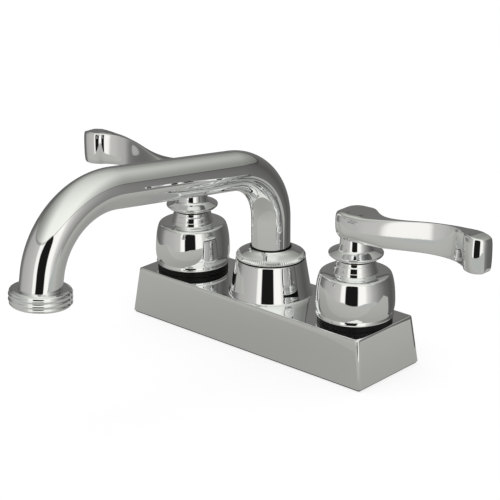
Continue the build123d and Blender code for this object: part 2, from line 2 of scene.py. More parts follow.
# A chromed utility sink faucet, built round its CAD model.
# The frame is the imported model: every piece here stands in the same place, in metres.
# The first cell loads it and keeps its pieces and its record.

# %% Load the frame
import json
import bpy
import numpy as np
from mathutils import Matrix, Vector


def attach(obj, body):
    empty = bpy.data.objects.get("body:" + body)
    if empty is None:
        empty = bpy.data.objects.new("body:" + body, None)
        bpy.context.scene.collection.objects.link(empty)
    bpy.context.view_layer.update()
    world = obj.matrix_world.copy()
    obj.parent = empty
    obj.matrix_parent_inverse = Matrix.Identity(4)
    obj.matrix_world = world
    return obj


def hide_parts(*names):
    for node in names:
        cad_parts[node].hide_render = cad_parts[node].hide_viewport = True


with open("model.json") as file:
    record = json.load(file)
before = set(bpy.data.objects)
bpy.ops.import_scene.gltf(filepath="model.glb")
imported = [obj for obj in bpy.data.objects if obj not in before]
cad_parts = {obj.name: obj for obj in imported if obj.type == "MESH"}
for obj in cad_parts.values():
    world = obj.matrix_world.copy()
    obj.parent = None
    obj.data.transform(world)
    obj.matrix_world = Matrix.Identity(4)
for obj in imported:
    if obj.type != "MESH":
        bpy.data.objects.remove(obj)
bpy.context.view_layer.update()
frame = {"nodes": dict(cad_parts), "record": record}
mm = 0.001

# %% [markdown]
# The camera looks at a point above the deck from 41.4 degrees round to the right and 21.4 degrees up.
# Its distance and lens come from the faucet's own corners, whose real sizes are known.
# The picture's centre lies above and left of that point, and the lens shift says how far.

# %% Camera
camera_azimuth = np.radians(41.39)
camera_height_angle = np.radians(21.37)
camera_distance = 776.53 * mm
camera_target = Vector((0, 0, 30 * mm))
focal_pixels = 1647.58
picture_pixels = 500
sensor_width = 36
lens_shift = (-0.0416, 0.0542)

camera_data = bpy.data.cameras.new("camera")
camera_data.sensor_width = sensor_width
camera_data.lens = focal_pixels / picture_pixels * sensor_width
camera_data.shift_x, camera_data.shift_y = lens_shift
camera_data.clip_start = 0.01
camera = bpy.data.objects.new("camera", camera_data)
bpy.context.collection.objects.link(camera)
towards_camera = Vector((
    np.sin(camera_azimuth) * np.cos(camera_height_angle),
    -np.cos(camera_azimuth) * np.cos(camera_height_angle),
    np.sin(camera_height_angle),
))
camera.location = camera_target + towards_camera * camera_distance
camera.rotation_euler = towards_camera.to_track_quat("Z", "Y").to_euler()
bpy.context.scene.camera = camera
bpy.context.scene.view_settings.view_transform = "Standard"
print("lens", round(camera_data.lens, 2), "mm")

# %% [markdown]
# Materials are graphs of nodes. Written one call at a time they are hard to read, so one class holds a socket
# and lets Python's own operators add Math nodes: 1 - mask is then a Subtract node.
# Every other kind of node comes from its one method, put.


# %% Sockets that do sums
class Wire:
    """A shader socket. Arithmetic on it adds Math nodes to its tree."""

    def __init__(self, tree, socket):
        self.tree = tree
        self.socket = socket

    @staticmethod
    def put(tree, kind, settings=None, sockets=None, out=0):
        """Adds a node: its settings first, then the values or links of its sockets. Returns one output.

        Sockets go by name, or by number where names repeat. The setting stops is a colour ramp's.
        """
        node = tree.nodes.new(kind)
        for key, value in (settings or {}).items():
            if key == "stops":
                ramp = node.color_ramp.elements
                ramp[0].position, ramp[0].color = value[0]
                ramp[-1].position, ramp[-1].color = value[-1]
                for place, colour in value[1:-1]:
                    ramp.new(place).color = colour
            else:
                setattr(node, key, value)
        for key, value in (sockets or {}).items():
            if isinstance(value, Wire):
                tree.links.new(value.socket, node.inputs[key])
            else:
                node.inputs[key].default_value = value
        return Wire(tree, node.outputs[out]) if len(node.outputs) else node

    def sum(self, operation, first, second=0.0, third=0.0):
        """A Math node. The operation has Blender's name."""
        return Wire.put(self.tree, "ShaderNodeMath", {"operation": operation}, {0: first, 1: second, 2: third})

    def __add__(self, other):
        return self.sum("ADD", self, other)

    def __sub__(self, other):
        return self.sum("SUBTRACT", self, other)

    def __rsub__(self, other):
        return self.sum("SUBTRACT", other, self)

    def __mul__(self, other):
        return self.sum("MULTIPLY", self, other)

    def __truediv__(self, other):
        return self.sum("DIVIDE", self, other)

    __radd__ = __add__
    __rmul__ = __mul__

    def blend(self, low, high):
        """The colour low where the socket is 0 and high where it is 1."""
        return mixed_colours(self.tree, "MIX", self, low, high)


def grey(value):
    return (value, value, value, 1)


def noise(tree, place, scale, detail=3.0, roughness=0.5):
    """Noise from 0 to 1 with about scale lumps to the metre."""
    return Wire.put(
        tree, "ShaderNodeTexNoise", None,
        {"Vector": place, "Scale": scale, "Detail": detail, "Roughness": roughness},
    )


def object_place(tree):
    """Each spot's place on its own object, in metres."""
    return Wire.put(tree, "ShaderNodeTexCoord", out="Object")


def parts_of(tree, vector):
    """The three numbers of a vector socket."""
    node = Wire.put(tree, "ShaderNodeSeparateXYZ", None, {"Vector": vector}).socket.node
    return [Wire(tree, socket) for socket in node.outputs]


def mixed_colours(tree, kind, share, first, second):
    return Wire.put(
        tree, "ShaderNodeMix", {"data_type": "RGBA", "blend_type": kind},
        {"Factor": share, "A": first, "B": second}, out="Result",
    )


def multiplied(tree, colour, by):
    return mixed_colours(tree, "MULTIPLY", 1.0, colour, by)


def mixed_shaders(tree, share, first, second):
    """The first shader where share is 0 and the second where it is 1."""
    return Wire.put(tree, "ShaderNodeMixShader", None, {"Fac": share, 1: first, 2: second})


def eased(tree, value, low, high):
    """0 below low and 1 above high, with a smooth step between them."""
    return Wire.put(
        tree, "ShaderNodeMapRange", {"interpolation_type": "SMOOTHSTEP"},
        {"Value": value, "From Min": low, "From Max": high},
    )


def brightness(tree, place, table, tint):
    """Tinted brightness that runs evenly between the table's places."""
    first, last = table[0][0], table[-1][0]
    stops = [((a - first) / (last - first), (v * tint[0], v * tint[1], v * tint[2], 1)) for a, v in table]
    part = (place - float(first)) / float(last - first)
    return Wire.put(tree, "ShaderNodeValToRGB", {"stops": stops}, {"Fac": part})


def blank_material(name):
    """A new material and its emptied tree."""
    material = bpy.data.materials.new(name)
    material.use_nodes = True
    material.node_tree.nodes.clear()
    return material, material.node_tree


def glow(tree, colour, strength=1.0):
    return Wire.put(tree, "ShaderNodeEmission", None, {"Color": colour, "Strength": strength})


def finish_tree(tree, surface):
    Wire.put(tree, "ShaderNodeOutputMaterial", None, {"Surface": surface})


def linked(name, data):
    """A new object in the scene."""
    piece = bpy.data.objects.new(name, data)
    bpy.context.collection.objects.link(piece)
    return piece


def unseen(piece):
    """Only reflections see the piece."""
    piece.visible_camera = piece.visible_diffuse = piece.visible_shadow = False
    piece.visible_transmission = piece.visible_volume_scatter = False


print("node helpers ready")

# %% [markdown]
# Chrome has no colour of its own: it shows the room. A product studio is a room of plain areas, and each was
# read off the faucet's own reflections: the dark camera stand in front, a white card each side of it, warm
# grey walls beyond, and a lighter ceiling. Bearings are in degrees to the right of the lens, seen from the
# faucet. The ceiling's table starts at the level behind the faucet and goes over the top to the lens.

# %% Studio tones
lens_azimuth = np.degrees(np.arctan2(towards_camera.y, towards_camera.x))
round_the_room = [
    (-180, 0.18), (-151, 0.14), (-125, 0.14), (-111, 0.2), (-96, 0.40), (-66, 0.46), (-41.5, 0.54), (-38.5, 0.95),
    (-27.5, 1.0), (-25.5, 0.01), (7, 0.01), (9, 1.0), (26, 1.0), (34, 0.68), (49, 0.42), (67, 0.25), (87, 0.14),
    (113, 0.09), (180, 0.18),
]
over_the_top = [(0, 0.17), (24, 0.21), (42, 0.34), (62, 0.55), (90, 0.72), (130, 0.9), (180, 1.0)]
wall_tint = (1.0, 0.985, 0.95)
ceiling_tint = (0.985, 1.0, 0.93)
ceiling_start = 27
ceiling_blur = 1.5
# The ceiling darkens to each side of the line of sight, between two sines and down to a share
aside_start, aside_end, aside_share = 0.3, 0.95, 0.35
# A dark gap between the walls and the ceiling, from its lower to its upper height in degrees
gap_low, gap_high, gap_dark = 24.5, 27.0, 0.6
# The stand's middle and half width, where its rounded top begins and how high it rises, in degrees
stand_middle, stand_half = -9.0, 17.5
stand_shoulder, stand_rise = 11.0, 17.0
# How sharply the rounded top ends
stand_edge = 12.0
dome_radius = 0.64
dome_centre = 0.04
print("studio reads", len(round_the_room), "bearings round the lens at", round(float(lens_azimuth), 1))

# %% [markdown]
# The areas are painted by direction on a dome a step away, so that the two bells see the stand from different
# sides, as they do in a real room. The direction of each spot on the dome gives its bearing and its height.
# The stand's top is an ellipse above its shoulder, and above it the card is white.

# %% Studio paint
room_paint, tree = blank_material("studio_room")
spot = Wire.put(
    tree, "ShaderNodeVectorMath", {"operation": "SUBTRACT"}, {0: object_place(tree), 1: (0, 0, dome_centre)}
)
ray_x, ray_y, ray_z = parts_of(tree, Wire.put(tree, "ShaderNodeVectorMath", {"operation": "NORMALIZE"}, {0: spot}))
bearing = ray_x.sum("ARCTAN2", ray_y, ray_x) / np.pi * 180 - float(lens_azimuth)
bearing = bearing.sum("WRAP", bearing, 180.0, -180.0)
lift = ray_z.sum("ARCSINE", ray_z) / np.pi * 180
walls = brightness(tree, bearing, round_the_room, wall_tint)

across = (bearing - stand_middle) / stand_half
above = lift.sum("MAXIMUM", (lift - stand_shoulder) / stand_rise, 0.0)
outside = (across * across + above * above) - 1.0
over_stand = outside.sum("MULTIPLY", outside * stand_edge, across.sum("LESS_THAN", across * across, 1.0))
over_stand = over_stand.sum("MINIMUM", over_stand.sum("MAXIMUM", over_stand, 0.0), 1.0)
walls = over_stand.blend(walls, (*wall_tint, 1))
in_gap = lift.sum("MULTIPLY", lift.sum("GREATER_THAN", lift, gap_low), lift.sum("LESS_THAN", lift, gap_high))
walls = in_gap.blend(walls, multiplied(tree, walls, grey(gap_dark)))

flat_lens = Vector((towards_camera.x, towards_camera.y, 0)).normalized()
forward = ray_x * flat_lens.x + ray_y * flat_lens.y
aside = ray_x * -flat_lens.y + ray_y * flat_lens.x
over = forward.sum("ARCTAN2", ray_z, forward * -1.0) / np.pi * 180
far_aside = eased(tree, aside.sum("ABSOLUTE", aside), aside_start, aside_end)
ceiling = brightness(tree, over, over_the_top, ceiling_tint)
ceiling = multiplied(tree, ceiling, far_aside.blend(grey(1.0), grey(aside_share)))
overhead = eased(tree, lift, ceiling_start - ceiling_blur, ceiling_start + ceiling_blur)
finish_tree(tree, glow(tree, overhead.blend(walls, ceiling)))
print("studio paint has", len(tree.nodes), "nodes")

# %% [markdown]
# The dome is a sphere round the faucet. Only rays that bounce off something shiny see it: the camera itself
# sees a white world, and matt surfaces get even white light from it.

# %% Studio dome
turns, rises = 96, 48
turn, rise = np.meshgrid(
    np.linspace(0, 2 * np.pi, turns + 1), np.linspace(-np.pi / 2, np.pi / 2, rises + 1), indexing="ij"
)
dome_points = dome_radius * np.stack([np.cos(turn) * np.cos(rise), np.sin(turn) * np.cos(rise), np.sin(rise)], -1)
dome_points += [0, 0, dome_centre]
i, j = (index.ravel() for index in np.meshgrid(np.arange(turns), np.arange(rises), indexing="ij"))
corner = i * (rises + 1) + j
dome_mesh = bpy.data.meshes.new("studio_dome")
dome_mesh.from_pydata(
    dome_points.reshape(-1, 3).tolist(), [],
    np.stack([corner, corner + rises + 1, corner + rises + 2, corner + 1], -1).tolist(),
)
dome_mesh.materials.append(room_paint)
unseen(linked("studio_dome", dome_mesh))

world = bpy.data.worlds.new("studio")
bpy.context.scene.world = world
world.use_nodes = True
tree = world.node_tree
tree.nodes.clear()
background = Wire.put(tree, "ShaderNodeBackground", None, {"Color": grey(1.0), "Strength": 1.0})
Wire.put(tree, "ShaderNodeOutputWorld", None, {"Surface": background})
print("dome of", len(dome_mesh.polygons), "faces")

# %% [markdown]
# The floor is a wide flat sheet of pale paper. The camera sees it white with the faucet's soft shadow on it.
# Shiny surfaces see grey paper near the faucet, darker still where the faucet's shadow is painted on it, and that
# darkens the lower half of every bell and the front of the base. That paper ends at straight edges, and past them
# shiny surfaces see through the floor.

# %% Floor
floor_half = 3.0
floor_drop = 0.2 * mm
# Each edge of the paper: the way it faces, in x and y, and how far from the middle it runs
paper_edges = [(0, -1, 0.172), (0.576, -0.817, 0.18), (0.967, -0.255, 0.184), (0, 1, 0.11), (-1, 0, 0.185)]
# A corner cut out of it behind the bells, given the same way but facing into the cut
paper_cut = [(0, 1, 0.045), (1, 0, -0.045), (-0.75, 0.66, -0.036)]
# Metres from the middle of the paper, and how bright it is there: darker near the faucet, a painted shadow
paper_shadow_greys = [(0.0, 0.32), (0.06, 0.345), (0.12, 0.39), (0.18, 0.42)]
paper_tint = (1.0, 1.0, 0.94)
# The paper is a little brighter past the edge of the faucet's painted shadow, a line square to this bearing
shadow_edge_bearing, shadow_edge_distance, past_shadow_gain = -71.6, 0.078, 1.11
# The camera sees a white glow, and a share of the lit paper for the shadow
white_glow = 1.08
shade_share = 0.30

floor_mesh = bpy.data.meshes.new("floor")
floor_mesh.from_pydata(
    [(x * floor_half, y * floor_half, -floor_drop) for x, y in ((-1, -1), (1, -1), (1, 1), (-1, 1))],
    [], [(0, 1, 2, 3)],
)
paper, tree = blank_material("pale_paper")
path = Wire.put(tree, "ShaderNodeLightPath").socket.node
seen_by_metal = Wire(tree, path.outputs["Is Glossy Ray"])
seen_by_camera = Wire(tree, path.outputs["Is Camera Ray"])
place = object_place(tree)
grain = noise(tree, place, 900.0)
lit = Wire.put(tree, "ShaderNodeBsdfDiffuse", None, {"Color": grain.blend(grey(0.80), grey(0.84))})

outward = Wire.put(tree, "ShaderNodeVectorMath", {"operation": "LENGTH"}, {0: place}, out="Value")
paper_x, paper_y, _ = parts_of(tree, place)
# Past this line the paper is lighter: the edge of the faucet's shadow, painted in
shadow_edge_angle = np.radians(shadow_edge_bearing)
past_painted_shadow = outward.sum("GREATER_THAN", paper_x * float(np.cos(shadow_edge_angle)) + paper_y * float(np.sin(shadow_edge_angle)), shadow_edge_distance)
# The grey that metal sees darkens towards the faucet: the faucet's shadow, painted into the paper
tone = brightness(tree, outward, paper_shadow_greys, paper_tint)
tone = past_painted_shadow.blend(tone, multiplied(tree, tone, grey(past_shadow_gain)))
deepest, *cut_gaps = [paper_x * x + paper_y * y - run for x, y, run in paper_cut]
for gap in cut_gaps:
    deepest = outward.sum("MINIMUM", deepest, gap)
for x, y, run in paper_edges:
    deepest = outward.sum("MAXIMUM", deepest, paper_x * x + paper_y * y - run)
off_paper = outward.sum("GREATER_THAN", deepest, 0.0)

to_metal = mixed_shaders(tree, off_paper, glow(tree, tone), Wire.put(tree, "ShaderNodeBsdfTransparent"))
to_camera = mixed_shaders(tree, shade_share, glow(tree, grey(1.0), white_glow), lit)
to_others = mixed_shaders(tree, seen_by_metal, lit, to_metal)
finish_tree(tree, mixed_shaders(tree, seen_by_camera, to_others, to_camera))
floor_mesh.materials.append(paper)
linked("floor", floor_mesh)
print("floor", 2 * floor_half, "m wide, paper of", len(paper_edges), "edges")

# %% [markdown]
# Past the paper's edges lies a low grey shelf, part of a disc. Only the levers see it, because they look down
# more steeply than the rest. One soft lamp high on the left gives the shadow its direction.

# %% Shelf and lamp
shelf_drop = 0.1
# The disc's middle and radius, and how far it runs to the left and to the back
shelf_middle = (0.05, 0.3)
shelf_radius = 0.76
shelf_left, shelf_back = -0.3, 0.1
shelf_points = 96

shelf_rim = [
    (
        max(shelf_middle[0] + shelf_radius * float(np.cos(a)), shelf_left),
        min(shelf_middle[1] + shelf_radius * float(np.sin(a)), shelf_back), -shelf_drop,
    )
    for a in np.arange(shelf_points) * 2 * np.pi / shelf_points
]
shelf_paint, tree = blank_material("shelf_grey")
tone = noise(tree, object_place(tree), 40.0).blend((0.43, 0.45, 0.43, 1), (0.46, 0.475, 0.455, 1))
finish_tree(tree, glow(tree, tone))
shelf_mesh = bpy.data.meshes.new("low_shelf")
shelf_mesh.from_pydata(shelf_rim, [], [tuple(range(shelf_points))])
shelf_mesh.materials.append(shelf_paint)
unseen(linked("low_shelf", shelf_mesh))

lamp_data = bpy.data.lights.new("soft_box", "AREA")
lamp_data.shape = "DISK"
lamp_data.size = 0.9
lamp_data.energy = 3.0
lamp = linked("soft_box", lamp_data)
lamp.location = (-0.5, -0.4, 1.3)
lamp.rotation_euler = Vector(lamp.location).to_track_quat("Z", "Y").to_euler()
lamp.visible_glossy = False
print("lamp", round(lamp.location.length, 2), "m away")

# %% [markdown]
# Each finish has one material. Chrome is nearly a mirror, with faint wiping marks that change its roughness
# and a plating surface that is not perfectly flat. The spout nut has the same chrome, but the shade under it
# and in its hole is painted on as near-black colour. Rubber, brass, nylon, zinc and moulded plastic follow,
# each with the grain that the real one shows.


# %% Materials
def finish(name, metallic, colour, rough, bump=None, extra=None):
    """A Principled material. colour and rough are functions of the tree and the place on the object.

    bump is such a function, for the height, with the depth that it is scaled to.
    """
    material, tree = blank_material(name)
    place = object_place(tree)
    sockets = {"Metallic": metallic, "Base Color": colour(tree, place), "Roughness": rough(tree, place)}
    if bump:
        height, depth = bump
        sockets["Normal"] = Wire.put(
            tree, "ShaderNodeBump", None, {"Strength": 1.0, "Distance": depth, "Height": height(tree, place)}
        )
    sockets.update(extra or {})
    finish_tree(tree, Wire.put(tree, "ShaderNodeBsdfPrincipled", None, sockets))
    return material


def rings(tree, place, spacing):
    """Fine turning marks round an upright piece: a sine of the height."""
    _, _, height = parts_of(tree, place)
    return height.sum("SINE", height * (2 * np.pi / spacing)) * 0.5 + 0.5


def chrome_colour(tree, place):
    return noise(tree, place, 30.0).blend((0.92, 0.93, 0.94, 1), (0.96, 0.965, 0.97, 1))


def nut_colour_painted_shade(tree, place):
    """Chrome on the nut's outside, and painted shade, near-black, under it and in its hole."""
    under, hole = 41.2 * mm, 9.9 * mm
    x, y, height = parts_of(tree, place)
    radius = x.sum("SQRT", x * x + y * y)
    # Painted shade: near-black colour in the gap under the nut and in its hole
    painted_shade_mask = x.sum("MAXIMUM", x.sum("LESS_THAN", height, under), x.sum("LESS_THAN", radius, hole))
    return painted_shade_mask.blend(chrome_colour(tree, place), grey(0.02))


def wiped(tree, place):
    """Roughness of plated metal that a cloth has wiped."""
    return noise(tree, place, 55.0, 4.0) * 0.05 + 0.005


plating = (lambda tree, place: noise(tree, place, 160.0, 2.0), 0.006 * mm)
chrome = finish("mirror_chrome", 1.0, chrome_colour, wiped, plating)
nut_chrome_painted_shade = finish("nut_chrome_painted_shade", 1.0, nut_colour_painted_shade, wiped, plating)
brass = finish(
    "machined_brass", 1.0,
    lambda tree, place: noise(tree, place, 120.0, 5.0).blend((0.62, 0.42, 0.17, 1), (0.78, 0.58, 0.28, 1)),
    lambda tree, place: noise(tree, place, 260.0) * 0.2 + 0.18,
    (lambda tree, place: rings(tree, place, 0.35 * mm), 0.01 * mm),
)
rubber = finish(
    "black_rubber", 0.0,
    lambda tree, place: noise(tree, place, 400.0).blend((0.003, 0.003, 0.0035, 1), (0.007, 0.007, 0.007, 1)),
    lambda tree, place: noise(tree, place, 700.0) * 0.2 + 0.3,
    (lambda tree, place: noise(tree, place, 2500.0), 0.02 * mm), {"Specular IOR Level": 0.15},
)
nylon = finish(
    "white_nylon", 0.0,
    lambda tree, place: noise(tree, place, 200.0).blend((0.80, 0.78, 0.71, 1), (0.87, 0.86, 0.80, 1)),
    lambda tree, place: noise(tree, place, 500.0) * 0.15 + 0.35,
    (lambda tree, place: rings(tree, place, 0.4 * mm), 0.008 * mm),
)
ceramic = finish(
    "lapped_ceramic", 0.0,
    lambda tree, place: noise(tree, place, 300.0).blend((0.86, 0.84, 0.78, 1), (0.93, 0.92, 0.88, 1)),
    lambda tree, place: noise(tree, place, 900.0) * 0.1 + 0.12,
)
zinc = finish(
    "zinc_plated_steel", 1.0,
    lambda tree, place: noise(tree, place, 250.0, 4.0).blend((0.52, 0.53, 0.55, 1), (0.70, 0.71, 0.72, 1)),
    lambda tree, place: noise(tree, place, 600.0) * 0.2 + 0.25,
    (lambda tree, place: noise(tree, place, 1500.0), 0.01 * mm),
)
plastic = finish(
    "grey_plastic", 0.0,
    lambda tree, place: noise(tree, place, 150.0).blend((0.42, 0.43, 0.44, 1), (0.50, 0.51, 0.52, 1)),
    lambda tree, place: noise(tree, place, 800.0) * 0.15 + 0.4,
    (lambda tree, place: noise(tree, place, 3000.0), 0.015 * mm),
)
print("materials", [material.name for material in bpy.data.materials])

# %% [markdown]
# A CAD solid comes as flat triangles, which a mirror finish would show as facets. So each chromed piece is
# made again as a fine smooth surface on the same sizes. Every one is a closed grid of points: its columns run
# round the piece and its rows run along a profile or a path, and either the rows join up too or each end
# closes in a point.


# %% Surfaces
def surface(name, grid, poles=None, sharp_angle=40):
    """Object from a grid of points in millimetres, of shape (rows, columns, 3).

    Columns wrap round. Rows wrap round too, unless poles gives the first and the last point.
    Faces turn outwards: the signed volume, the sum of p0 . (p1 x p2) over the triangles, is kept positive.
    """
    rows, columns = grid.shape[:2]
    points = grid.reshape(-1, 3) * mm
    row, column = np.meshgrid(np.arange(rows if poles is None else rows - 1), np.arange(columns), indexing="ij")
    right = (column + 1) % columns
    down = (row + 1) % rows
    faces = np.stack(
        [row * columns + column, row * columns + right, down * columns + right, down * columns + column], -1
    ).reshape(-1, 4)
    triangles = np.zeros((0, 3), int)
    if poles is not None:
        first, last = len(points), len(points) + 1
        points = np.vstack([points, np.array(poles) * mm])
        near = np.arange(columns)
        far = (near + 1) % columns
        end = (rows - 1) * columns
        triangles = np.vstack([
            np.stack([np.full(columns, first), far, near], -1),
            np.stack([np.full(columns, last), end + near, end + far], -1),
        ])
    halves = np.vstack([faces[:, [0, 1, 2]], faces[:, [0, 2, 3]], triangles])
    corner = points[halves]
    volume = np.einsum("ij,ij->", corner[:, 0], np.cross(corner[:, 1], corner[:, 2])) / 6
    if volume < 0:
        faces = faces[:, ::-1]
        triangles = triangles[:, ::-1]
    mesh = bpy.data.meshes.new(name)
    mesh.from_pydata(points.tolist(), [], faces.tolist() + triangles.tolist())
    mesh.shade_smooth()
    mesh.set_sharp_from_angle(angle=float(np.radians(sharp_angle)))
    piece = linked(name, mesh)
    print(name, len(halves), "triangles,", round(abs(volume) * 1e9), "cubic mm")
    return piece


def dress(piece, material, body, slot, *nodes):
    """Gives a finished piece its material, the body that it moves with and the CAD nodes that it stands for."""
    piece.data.materials.clear()
    piece.data.materials.append(material)
    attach(piece, body)
    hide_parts(*nodes)


def even_steps(points, step):
    """Points at even steps along the straight runs between the given points."""
    runs = np.linalg.norm(np.diff(points, axis=0), axis=1)
    along = np.concatenate([[0], np.cumsum(runs)])
    places = np.linspace(0, along[-1], max(2, int(along[-1] / step)))
    return np.stack([np.interp(places, along, points[:, k]) for k in range(points.shape[1])], -1)


def smooth_curve(points, count):
    """Cubic spline through the points, with even second derivatives where its pieces meet.

    The second derivatives solve the usual three-term equations, and are nought at both ends.
    """
    points = np.array(points, float)
    along = np.concatenate([[0], np.cumsum(np.linalg.norm(np.diff(points, axis=0), axis=1))])
    gap = np.diff(along)
    size = len(points)
    matrix = np.eye(size)
    right = np.zeros_like(points)
    inner = np.arange(1, size - 1)
    matrix[inner, inner - 1] = gap[:-1]
    matrix[inner, inner] = 2 * (gap[:-1] + gap[1:])
    matrix[inner, inner + 1] = gap[1:]
    slope = np.diff(points, axis=0) / gap[:, None]
    right[inner] = 6 * np.diff(slope, axis=0)
    bend = np.linalg.solve(matrix, right)
    places = np.linspace(0, along[-1], count)
    k = np.clip(np.searchsorted(along, places, side="right") - 1, 0, size - 2)
    a = ((along[k + 1] - places) / gap[k])[:, None]
    b = 1 - a
    curve = a * points[k] + b * points[k + 1]
    return curve + ((a**3 - a) * bend[k] + (b**3 - b) * bend[k + 1]) * (gap[k] ** 2)[:, None] / 6


def softened(corners, width, count):
    """Closed profile with rounded corners and more points where it bends.

    The loop through the corners is stepped finely and averaged over a window of the given width, twice.
    Its points are then picked at even steps of length plus a share of the angle turned.
    """
    window_points, turn_share = 13, 2.0
    corners = np.array(corners, float)
    step = width / (window_points - 1)
    loop = even_steps(np.vstack([corners, corners[:1]]), step)[:-1]
    window = np.ones(window_points) / window_points
    half = window_points // 2
    for _ in range(2):
        wrapped = np.vstack([loop[-half:], loop, loop[:half]])
        loop = np.stack([np.convolve(wrapped[:, k], window, "valid") for k in range(2)], -1)
    chord = np.roll(loop, -1, axis=0) - loop
    heading = np.arctan2(chord[:, 1], chord[:, 0])
    turn = np.abs((np.diff(heading, prepend=heading[-1:]) + np.pi) % (2 * np.pi) - np.pi)
    length = np.linalg.norm(chord, axis=1)
    effort = np.cumsum(length / length.sum() + turn_share * turn / turn.sum())
    picks = np.linspace(effort[0], effort[-1], count, endpoint=False)
    index = np.arange(len(loop))
    spot = np.interp(picks, effort, index)
    return np.stack([np.interp(spot, index, loop[:, k]) for k in range(2)], -1)


def turned(profile, x, columns):
    """Grid of a turned piece: the profile's radius carried round the upright axis at x, its height kept."""
    angle = np.linspace(0, 2 * np.pi, columns, endpoint=False)
    radius, height = profile[:, :1], profile[:, 1:]
    return np.stack([x + radius * np.cos(angle), radius * np.sin(angle), height + 0 * angle], -1)


print("surface helpers ready")

# %% [markdown]
# The base cover is a thin hollow box whose walls lean in a little, pressed from brass sheet, with the turret
# cone drawn up from its top. Its profile is carried round a rectangle with rounded corners. On the way in from
# the edge to the cone the rectangle turns into the cone's circle, and the two holes for the valves are cut
# with a Boolean, because they lie off the middle.

# %% Base cover
half_centres = 50.8
cover_half_length = 71.4
cover_half_width = 21.95
cover_end_lean = 2.9
cover_side_lean = 2.0
cover_wall = 2.0
cover_foot = 0.8
cover_top = 23.2
cover_corner = 1.3
cone_foot_radius = 19.25
cone_top_radius = 16.4
cone_top = 40.5
cone_wall = 1.8
valve_hole_radius = 13.7
valve_hole_heights = (18.0, 26.0)
base_columns = 480
cover_sharp = 35


def rounded_rectangle(half_x, half_y, corner, columns):
    """Outline of a rectangle with rounded corners, at even steps of its length."""
    turn = np.linspace(0, np.pi / 2, 24)
    arc = np.stack([np.cos(turn), np.sin(turn)], -1) * corner
    quarter = []
    for sign_x, sign_y, start in ((1, 1, 0), (-1, 1, 1), (-1, -1, 2), (1, -1, 3)):
        spin = np.array([[np.cos(start * np.pi / 2), np.sin(start * np.pi / 2)],
                         [-np.sin(start * np.pi / 2), np.cos(start * np.pi / 2)]])
        quarter.append(arc @ spin + [sign_x * (half_x - corner), sign_y * (half_y - corner)])
    outline = np.vstack(quarter + [quarter[0][:1]])
    length = np.concatenate([[0], np.cumsum(np.linalg.norm(np.diff(outline, axis=0), axis=1))])
    places = np.linspace(0, length[-1], columns, endpoint=False)
    return np.stack([np.interp(places, length, outline[:, k]) for k in range(2)], -1)


def cover_ring(inset, height):
    """Ring of the leaning box: it narrows evenly with height and keeps its corner radius."""
    rise = (height - cover_foot) / (cover_top - cover_foot)
    outline = rounded_rectangle(
        cover_half_length - cover_end_lean * rise - inset,
        cover_half_width - cover_side_lean * rise - inset,
        max(cover_corner - inset, 0.3), base_columns,
    )
    return np.column_stack([outline, np.full(base_columns, height)])


def circle_ring(radius, height, like):
    """Ring of a circle whose points keep the bearing of the outline like."""
    bearing = np.arctan2(like[:, 1], like[:, 0])
    return np.column_stack([radius * np.cos(bearing), radius * np.sin(bearing), np.full(len(like), height)])


edge_radius = 0.7
foot_flare = 1.1
straight_from, straight_to = cover_top + 1.6, cone_top - 0.5
lip_width, lip_height = 0.15, 0.25
edge = np.linspace(0, np.pi / 2, 7)
outer = [cover_ring(0, z) for z in np.linspace(cover_foot, cover_top - edge_radius, 12)]
outer += [
    cover_ring(edge_radius * (1 - np.cos(a)), cover_top - edge_radius * (1 - np.sin(a))) for a in edge[1:]
]
rim = outer[-1]
foot = circle_ring(cone_foot_radius + foot_flare, cover_top, rim)
outer += [rim + (foot - rim) * s for s in (0.02, 0.1, 0.3, 0.6, 0.9, 0.98, 1.0)]
slope = (cone_foot_radius - cone_top_radius) / (cone_top - cover_top)
flare = [
    (cone_foot_radius + foot_flare * (1 - np.sin(a)), cover_top + foot_flare * (1 - np.cos(a))) for a in edge[1:]
]
cone = [(cone_foot_radius - slope * (z - cover_top), z) for z in np.linspace(straight_from, straight_to, 8)]
lip = [(cone_top_radius, cone_top - lip_height), (cone_top_radius - lip_width, cone_top)]
inside = [(cone_top_radius - cone_wall, cone_top), (cone_foot_radius - cone_wall, cover_top - cover_wall)]
outer += [circle_ring(r, z, rim) for r, z in flare + cone + lip + inside]
under = cover_ring(cover_wall, cover_top - cover_wall)
outer += [under, cover_ring(cover_wall, cover_foot)]
base_cover = surface("chrome_base_cover", np.array(outer), sharp_angle=cover_sharp)

for side in (-1, 1):
    middle = side * half_centres
    hole = turned(np.array([(valve_hole_radius, z) for z in valve_hole_heights]), middle, 96)
    cutter = surface("cutter", hole, poles=[(middle, 0, z) for z in valve_hole_heights])
    cut = base_cover.modifiers.new("valve_hole", "BOOLEAN")
    cut.operation, cut.object, cut.solver = "DIFFERENCE", cutter, "EXACT"
    bpy.context.view_layer.objects.active = base_cover
    bpy.ops.object.modifier_apply(modifier=cut.name)
    bpy.data.meshes.remove(cutter.data)
base_cover.data.set_sharp_from_angle(angle=float(np.radians(cover_sharp)))
dress(base_cover, chrome, "base", "chrome", "base_cover")
print("base cover", len(base_cover.data.polygons), "faces")

# %% [markdown]
# A bell covers each valve. It is a thin shell: a skirt that swells a little and rolls over a round shoulder,
# then three rings that step in round the neck. The skirt is a smooth curve through measured radii, and the
# rings are softened corners, because polishing rounds them. A rubber ring seals each bell to the cover.

